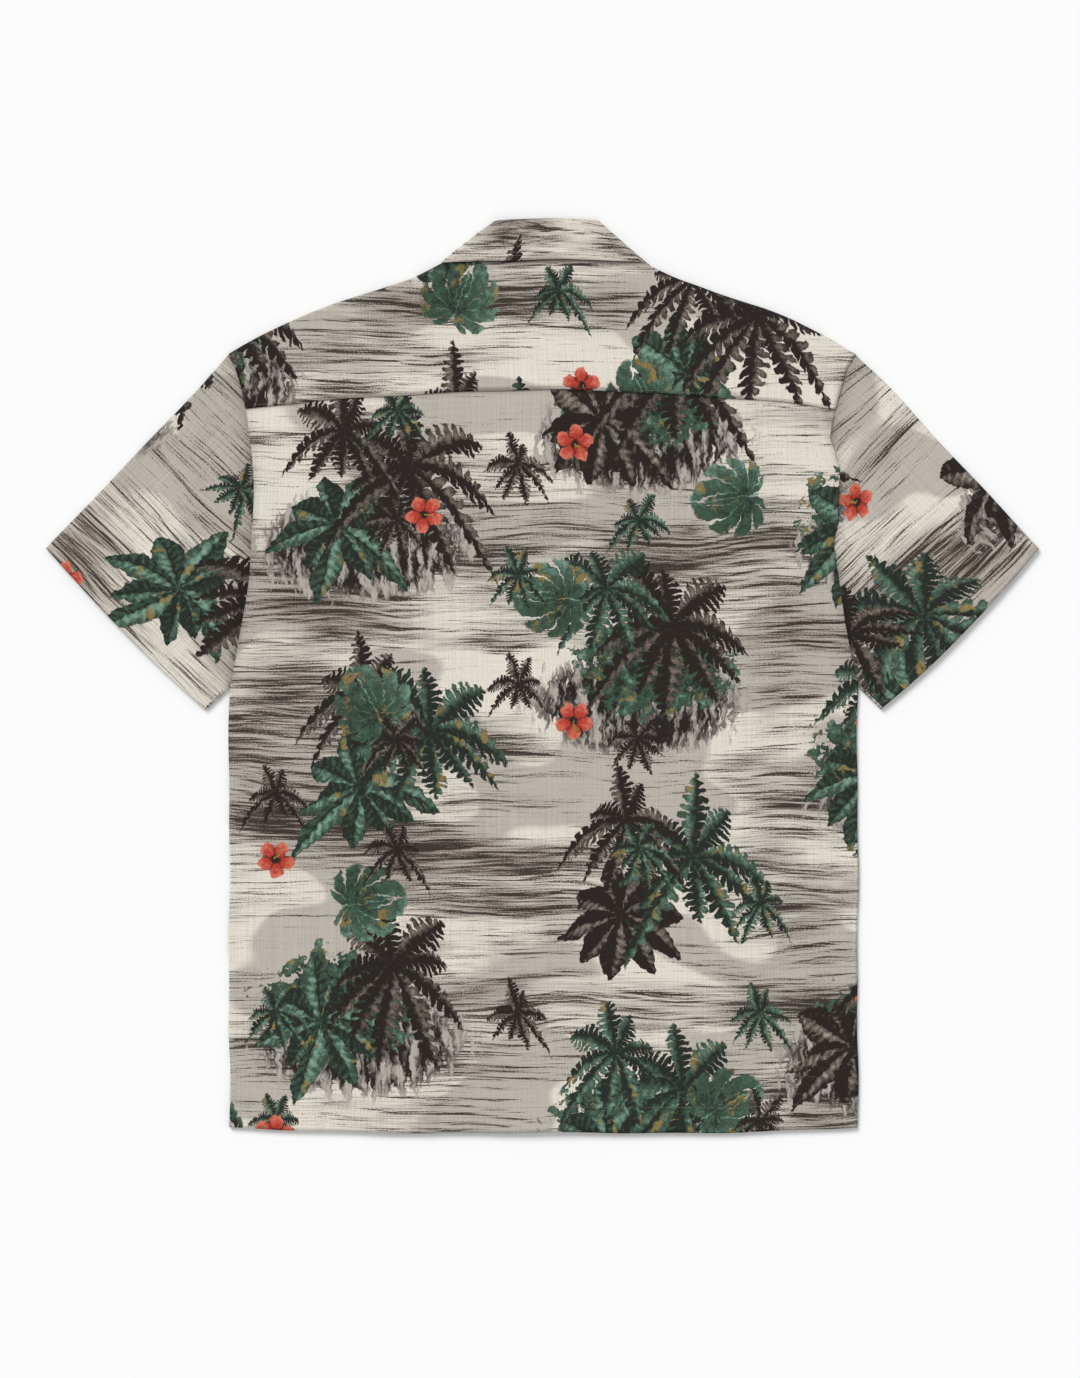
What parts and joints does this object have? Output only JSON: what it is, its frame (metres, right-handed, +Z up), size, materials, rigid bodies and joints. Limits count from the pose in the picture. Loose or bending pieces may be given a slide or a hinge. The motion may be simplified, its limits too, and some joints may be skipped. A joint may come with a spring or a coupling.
{
  "type": "hawaiian shirt",
  "caption": "Short-sleeved hawaiian shirt with a camp collar and a back yoke, buttoned up and laid flat on its front with the back showing.",
  "frame": {"origin": "middle of the shirt's outline, on the surface that it lies on", "axes": "+X to the right seen from above, towards the wearer's right sleeve; +Y from hem to collar; +Z up, from the front, which lies down, to the back"},
  "size_m": [0.8612, 0.792, 0.0071],
  "materials": {
    "cloth": "matt printed cloth with a fine slub",
    "button": "polished coconut shell"
  },
  "bodies": {
    "root": {"back": "cloth", "yoke": "cloth", "front_left": "cloth", "front_right": "cloth", "sleeve_left": "cloth", "sleeve_right": "cloth", "collar": "cloth", "button_1": "button", "button_2": "button", "button_3": "button", "button_4": "button", "button_5": "button"}
  },
  "joints": []
}
